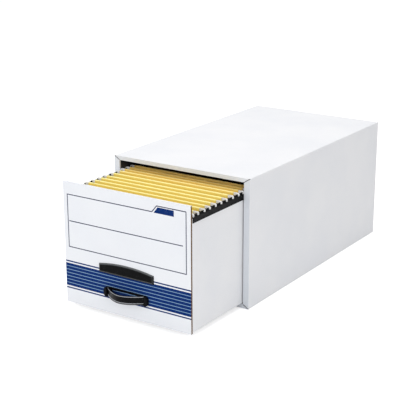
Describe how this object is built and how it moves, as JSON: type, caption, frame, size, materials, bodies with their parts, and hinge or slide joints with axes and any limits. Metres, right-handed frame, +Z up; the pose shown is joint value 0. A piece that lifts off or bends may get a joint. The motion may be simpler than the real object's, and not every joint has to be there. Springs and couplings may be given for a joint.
{
  "type": "file storage box with drawer",
  "caption": "Free-standing corrugated file storage box with steel side frames and a deep sliding drawer, which holds yellow hanging folders on two file rails.",
  "frame": {"origin": "centre of the case's base", "axes": "+X to the right seen from the front, -Y out of the front, +Z up"},
  "size_m": [0.3556, 0.8413, 0.2921],
  "materials": {
    "case_board": "white-faced corrugated board",
    "back_board": "white-faced corrugated board",
    "front_board": "white-faced board with blue print and raw brown edges",
    "drawer_board": "white-faced corrugated board",
    "side_frame_steel": "dark grey paint",
    "rail_black": "satin black",
    "handle_black": "gloss black",
    "retainer_black": "satin black",
    "plate_black": "gloss black",
    "folder_paper": "smooth yellow card",
    "rod_white": "white coating"
  },
  "bodies": {
    "case": {"case_shell": "case_board", "case_back_panel": "back_board", "left_side_frame": "side_frame_steel", "right_side_frame": "side_frame_steel"},
    "drawer": {"drawer_front_panel": "front_board", "drawer_body": "drawer_board", "left_file_rail": "rail_black", "right_file_rail": "rail_black", "handle": "handle_black", "handle_retainer": "retainer_black", "name_plate": "plate_black"},
    "folder_01": {"folder_01_pocket": "folder_paper", "folder_01_rods": "rod_white"},
    "folder_02": {"folder_02_pocket": "folder_paper", "folder_02_rods": "rod_white"},
    "folder_03": {"folder_03_pocket": "folder_paper", "folder_03_rods": "rod_white"},
    "folder_04": {"folder_04_pocket": "folder_paper", "folder_04_rods": "rod_white"},
    "folder_05": {"folder_05_pocket": "folder_paper", "folder_05_rods": "rod_white"},
    "folder_06": {"folder_06_pocket": "folder_paper", "folder_06_rods": "rod_white"},
    "folder_07": {"folder_07_pocket": "folder_paper", "folder_07_rods": "rod_white"},
    "folder_08": {"folder_08_pocket": "folder_paper", "folder_08_rods": "rod_white"},
    "folder_09": {"folder_09_pocket": "folder_paper", "folder_09_rods": "rod_white"},
    "folder_10": {"folder_10_pocket": "folder_paper", "folder_10_rods": "rod_white"},
    "folder_11": {"folder_11_pocket": "folder_paper", "folder_11_rods": "rod_white"},
    "folder_12": {"folder_12_pocket": "folder_paper", "folder_12_rods": "rod_white"}
  },
  "joints": [
    {"name": "drawer_slide", "type": "slide", "parent": "case", "child": "drawer", "axis": [0, -1, 0], "range_m": [-0.1953, 0.3248]},
    {"name": "folder_01_slide", "type": "slide", "parent": "drawer", "child": "folder_01", "axis": [0, 1, 0], "range_m": [-0.001, 0.0051]},
    {"name": "folder_02_slide", "type": "slide", "parent": "drawer", "child": "folder_02", "axis": [0, 1, 0], "range_m": [-0.0051, 0.008]},
    {"name": "folder_03_slide", "type": "slide", "parent": "drawer", "child": "folder_03", "axis": [0, 1, 0], "range_m": [-0.008, 0.0062]},
    {"name": "folder_04_slide", "type": "slide", "parent": "drawer", "child": "folder_04", "axis": [0, 1, 0], "range_m": [-0.0062, 0.0072]},
    {"name": "folder_05_slide", "type": "slide", "parent": "drawer", "child": "folder_05", "axis": [0, 1, 0], "range_m": [-0.0072, 0.0069]},
    {"name": "folder_06_slide", "type": "slide", "parent": "drawer", "child": "folder_06", "axis": [0, 1, 0], "range_m": [-0.0069, 0.0068]},
    {"name": "folder_07_slide", "type": "slide", "parent": "drawer", "child": "folder_07", "axis": [0, 1, 0], "range_m": [-0.0068, 0.0085]},
    {"name": "folder_08_slide", "type": "slide", "parent": "drawer", "child": "folder_08", "axis": [0, 1, 0], "range_m": [-0.0085, 0.0077]},
    {"name": "folder_09_slide", "type": "slide", "parent": "drawer", "child": "folder_09", "axis": [0, 1, 0], "range_m": [-0.0077, 0.0058]},
    {"name": "folder_10_slide", "type": "slide", "parent": "drawer", "child": "folder_10", "axis": [0, 1, 0], "range_m": [-0.0058, 0.0056]},
    {"name": "folder_11_slide", "type": "slide", "parent": "drawer", "child": "folder_11", "axis": [0, 1, 0], "range_m": [-0.0056, 0.0053]},
    {"name": "folder_12_slide", "type": "slide", "parent": "drawer", "child": "folder_12", "axis": [0, 1, 0], "range_m": [-0.0053, 0.2885]}
  ]
}
